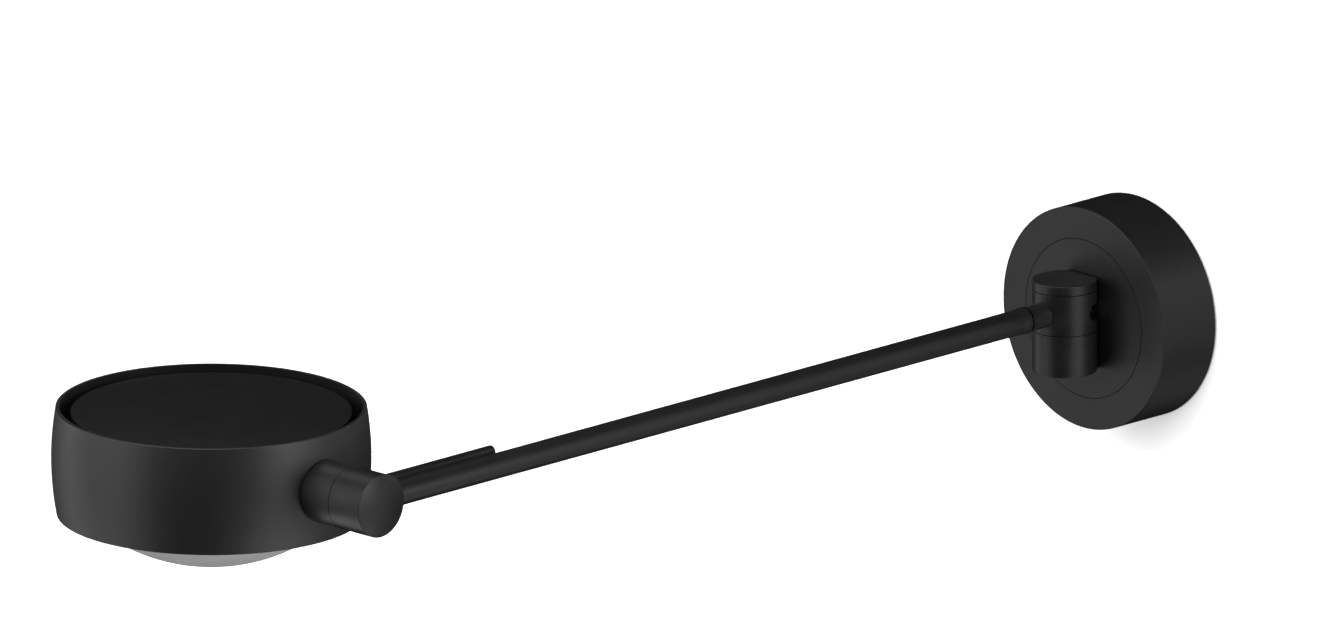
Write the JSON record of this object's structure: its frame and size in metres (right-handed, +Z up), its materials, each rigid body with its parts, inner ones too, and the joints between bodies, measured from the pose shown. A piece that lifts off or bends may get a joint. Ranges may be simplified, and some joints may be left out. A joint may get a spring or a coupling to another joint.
{
  "type": "swing-arm wall reading light",
  "caption": "Wall reading light: round rose, vertical hinge, long straight arm that rolls, and a drum head with a domed opal lens that tilts on a cross joint with a grip bar.",
  "frame": {"origin": "centre of the rose's back, on the wall plane, midway between the two fixing slots", "axes": "+Y into the wall, +Z up, arm along -Y, fixing slots spaced along X"},
  "size_m": [0.1902, 0.4817, 0.088],
  "materials": {
    "black_coat": "matt powder coat",
    "black_grain": "fine-textured matt powder coat",
    "blackened_steel": "black oxide",
    "zinc_steel": "zinc plated",
    "brass": "turned",
    "bearing_plastic": "plain",
    "aluminium": "turned and milled",
    "black_anodised": "matt black anodised",
    "reflector_metal": "satin",
    "lens_opal": "opal, satin outside",
    "seal_rubber": "silicone",
    "case_plastic": "moulded",
    "board": "solder mask",
    "lead_sheath": "smooth sheath"
  },
  "bodies": {
    "wall_mount": {"wall_bracket": "zinc_steel", "rose_cover": "black_coat", "cover_set_screws": "blackened_steel", "hinge_plate": "black_grain", "hinge_plate_screws": "zinc_steel", "driver_case": "case_plastic", "driver_board": "board", "terminal_block": "case_plastic", "module_screws": "zinc_steel", "earth_screw": "zinc_steel", "input_leads": "lead_sheath", "output_lead": "lead_sheath", "hinge_base": "black_grain", "hinge_base_screws": "zinc_steel", "hinge_spindle": "zinc_steel", "spindle_screw": "blackened_steel", "cable_nipple": "blackened_steel", "thrust_washer": "bearing_plastic", "hinge_spring": "zinc_steel", "tension_nut": "brass", "hinge_cap": "black_grain"},
    "swivel": {"hinge_sleeve": "black_grain", "lower_bush": "bearing_plastic", "upper_bush": "bearing_plastic", "arm_stub": "black_grain", "roll_washer": "blackened_steel", "roll_stop_pin": "zinc_steel", "roll_clip": "blackened_steel", "stub_lead": "lead_sheath"},
    "arm": {"arm_collar": "black_coat", "roll_bush": "bearing_plastic", "arm_tube": "black_coat", "arm_lead": "lead_sheath", "tilt_housing": "black_grain", "joint_set_screws": "blackened_steel", "tilt_spindle": "zinc_steel", "tilt_stop_pin": "zinc_steel", "tilt_washer": "bearing_plastic", "tilt_springs": "zinc_steel", "tilt_nut": "zinc_steel"},
    "head": {"tilt_collar": "black_grain", "tilt_bush": "bearing_plastic", "tilt_lever": "black_coat", "joint_block": "aluminium", "joint_screws": "zinc_steel", "friction_washer": "zinc_steel", "head_shell": "black_coat", "lens": "lens_opal", "lens_seal": "seal_rubber", "clamp_ring": "black_anodised", "clamp_screws": "zinc_steel", "reflector": "reflector_metal", "led_board": "board", "led_holder": "bearing_plastic", "heat_sink": "black_anodised", "head_pillars": "black_anodised", "pillar_screws": "zinc_steel", "disc_posts": "black_anodised", "top_disc": "black_coat", "head_lead": "lead_sheath"}
  },
  "joints": [
    {"name": "arm_swing", "type": "hinge", "parent": "wall_mount", "child": "swivel", "pos_m": [0, -0.0382, 0.0057], "axis": [0, 0, 1], "range_deg": [-70, 70]},
    {"name": "arm_roll", "type": "hinge", "parent": "swivel", "child": "arm", "pos_m": [0, -0.0722, 0.0057], "axis": [0, 1, 0], "range_deg": [-90, 90]},
    {"name": "head_tilt", "type": "hinge", "parent": "arm", "child": "head", "pos_m": [-0.008, -0.4198, 0.0057], "axis": [1, 0, 0], "range_deg": [-160, 160]}
  ]
}
